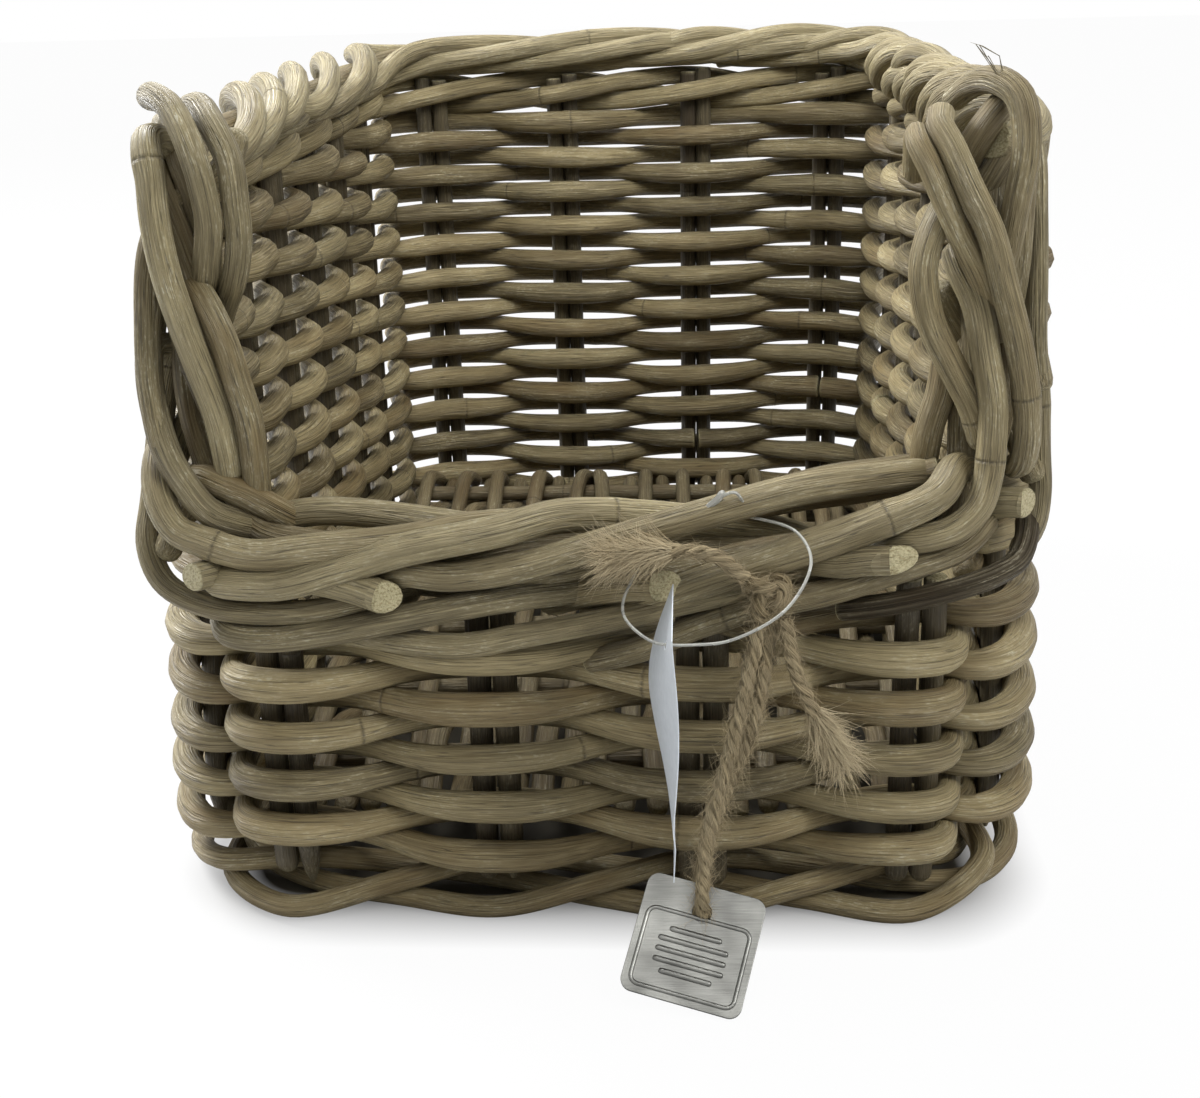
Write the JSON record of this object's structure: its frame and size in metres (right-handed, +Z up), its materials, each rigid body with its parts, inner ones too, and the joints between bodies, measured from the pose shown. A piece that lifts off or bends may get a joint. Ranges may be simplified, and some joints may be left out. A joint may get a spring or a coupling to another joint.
{
  "type": "storage basket",
  "caption": "Woven rattan storage box with high back and sides, a low open front and a rolled border, with a metal tag on a jute cord and a blank swing ticket",
  "frame": {"origin": "middle of the box's footprint on the surface it stands on, without the tag, its cord and the ticket", "axes": "+Z up, the low front faces -Y, +X is the right side seen from the front"},
  "size_m": [0.3129, 0.4908, 0.2839],
  "materials": {
    "weaver_rattan": "unvarnished greyed rattan rod",
    "stake_rattan": "unvarnished greyed rattan rod, in shade",
    "border_rattan": "unvarnished greyed rattan rod",
    "base_rattan": "unvarnished greyed rattan rod",
    "jute": "twisted jute with loose fibres",
    "aluminium": "brushed with a raised border",
    "clear_plastic": "clear thread",
    "paper": "smooth white card"
  },
  "bodies": {
    "box": {"stakes_front_1": "stake_rattan", "stakes_front_2": "stake_rattan", "stakes_front_3": "stake_rattan", "stakes_front_4": "stake_rattan", "stakes_right_1": "stake_rattan", "stakes_right_2": "stake_rattan", "stakes_right_3": "stake_rattan", "stakes_right_4": "stake_rattan", "stakes_right_5": "stake_rattan", "stakes_right_6": "stake_rattan", "stakes_back_1": "stake_rattan", "stakes_back_2": "stake_rattan", "stakes_back_3": "stake_rattan", "stakes_back_4": "stake_rattan", "stakes_left_1": "stake_rattan", "stakes_left_2": "stake_rattan", "stakes_left_3": "stake_rattan", "stakes_left_4": "stake_rattan", "stakes_left_5": "stake_rattan", "stakes_left_6": "stake_rattan", "ring_weaver_1": "weaver_rattan", "ring_weaver_2": "weaver_rattan", "ring_weaver_3": "weaver_rattan", "ring_weaver_4": "weaver_rattan", "ring_weaver_5": "weaver_rattan", "ring_weaver_6": "weaver_rattan", "ring_weaver_7": "weaver_rattan", "ring_weaver_8": "weaver_rattan", "ring_weaver_9": "weaver_rattan", "ring_weaver_10": "weaver_rattan", "ring_weaver_11": "weaver_rattan", "ring_weaver_12": "weaver_rattan", "side_weaver_1": "weaver_rattan", "side_weaver_2": "weaver_rattan", "side_weaver_3": "weaver_rattan", "side_weaver_4": "weaver_rattan", "side_weaver_5": "weaver_rattan", "side_weaver_6": "weaver_rattan", "side_weaver_7": "weaver_rattan", "border_rod_1": "border_rattan", "border_rod_2": "border_rattan", "border_rod_3": "border_rattan", "border_rod_4": "border_rattan", "base_stick_1": "base_rattan", "base_stick_2": "base_rattan", "base_stick_3": "base_rattan", "base_stick_4": "base_rattan", "base_stick_5": "base_rattan", "base_stick_6": "base_rattan", "base_weaver_1": "base_rattan", "base_weaver_2": "base_rattan", "base_weaver_3": "base_rattan", "jute_knot": "jute", "jute_loop": "jute", "jute_tail_left": "jute", "jute_tail_right": "jute", "ticket_loop": "clear_plastic"},
    "tag": {"metal_tag": "aluminium"},
    "swing_ticket": {"ticket": "paper"}
  },
  "joints": [
    {"name": "tag_swing", "type": "hinge", "parent": "box", "child": "tag", "pos_m": [0.036, -0.236, 0.0293], "axis": [-1, 0, 0], "range_deg": [0, 30]},
    {"name": "ticket_swing", "type": "hinge", "parent": "box", "child": "swing_ticket", "pos_m": [0.027, -0.248, 0.1246], "axis": [-1, 0, 0], "range_deg": [0, 45]}
  ]
}
